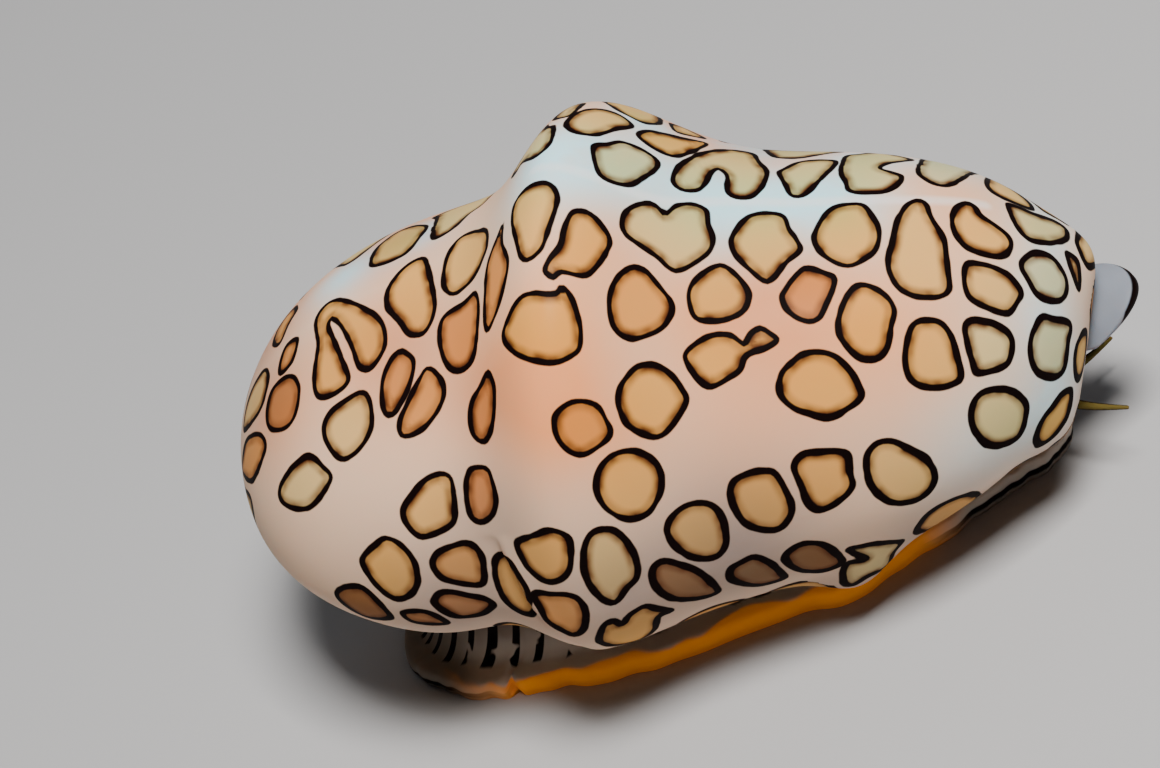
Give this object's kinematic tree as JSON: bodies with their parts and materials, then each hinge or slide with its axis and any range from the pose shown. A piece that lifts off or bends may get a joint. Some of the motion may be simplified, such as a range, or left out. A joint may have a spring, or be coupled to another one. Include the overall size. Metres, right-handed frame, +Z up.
{
  "type": "flamingo tongue snail",
  "caption": "Life-size still model of a crawling flamingo tongue snail, its humped shell hidden by the spread mantle.",
  "frame": {"origin": "on the floor under the middle of the shell, on the flat sole of the foot", "axes": "+X toward the head, -Y the snail's right side, +Z up"},
  "size_m": [0.0317, 0.0189, 0.0184],
  "materials": {
    "mantle": "wet skin, cream with orange spots ringed in black",
    "siphon": "wet pale grey skin with a black edge",
    "head": "wet tan skin with black lines",
    "tentacle": "wet olive skin with black lines",
    "eye": "glossy black",
    "foot": "wet grey-tan skin with black stripes and an orange edge"
  },
  "bodies": {
    "root": {"mantle_right_rear": "mantle", "mantle_right_hump": "mantle", "mantle_right_front": "mantle", "mantle_left_rear": "mantle", "mantle_left_hump": "mantle", "mantle_left_front": "mantle", "siphon": "siphon", "head": "head", "tentacle_right": "tentacle", "tentacle_left": "tentacle", "eye_right": "eye", "eye_left": "eye", "foot_rear": "foot", "foot_middle": "foot", "foot_front": "foot"}
  },
  "joints": []
}
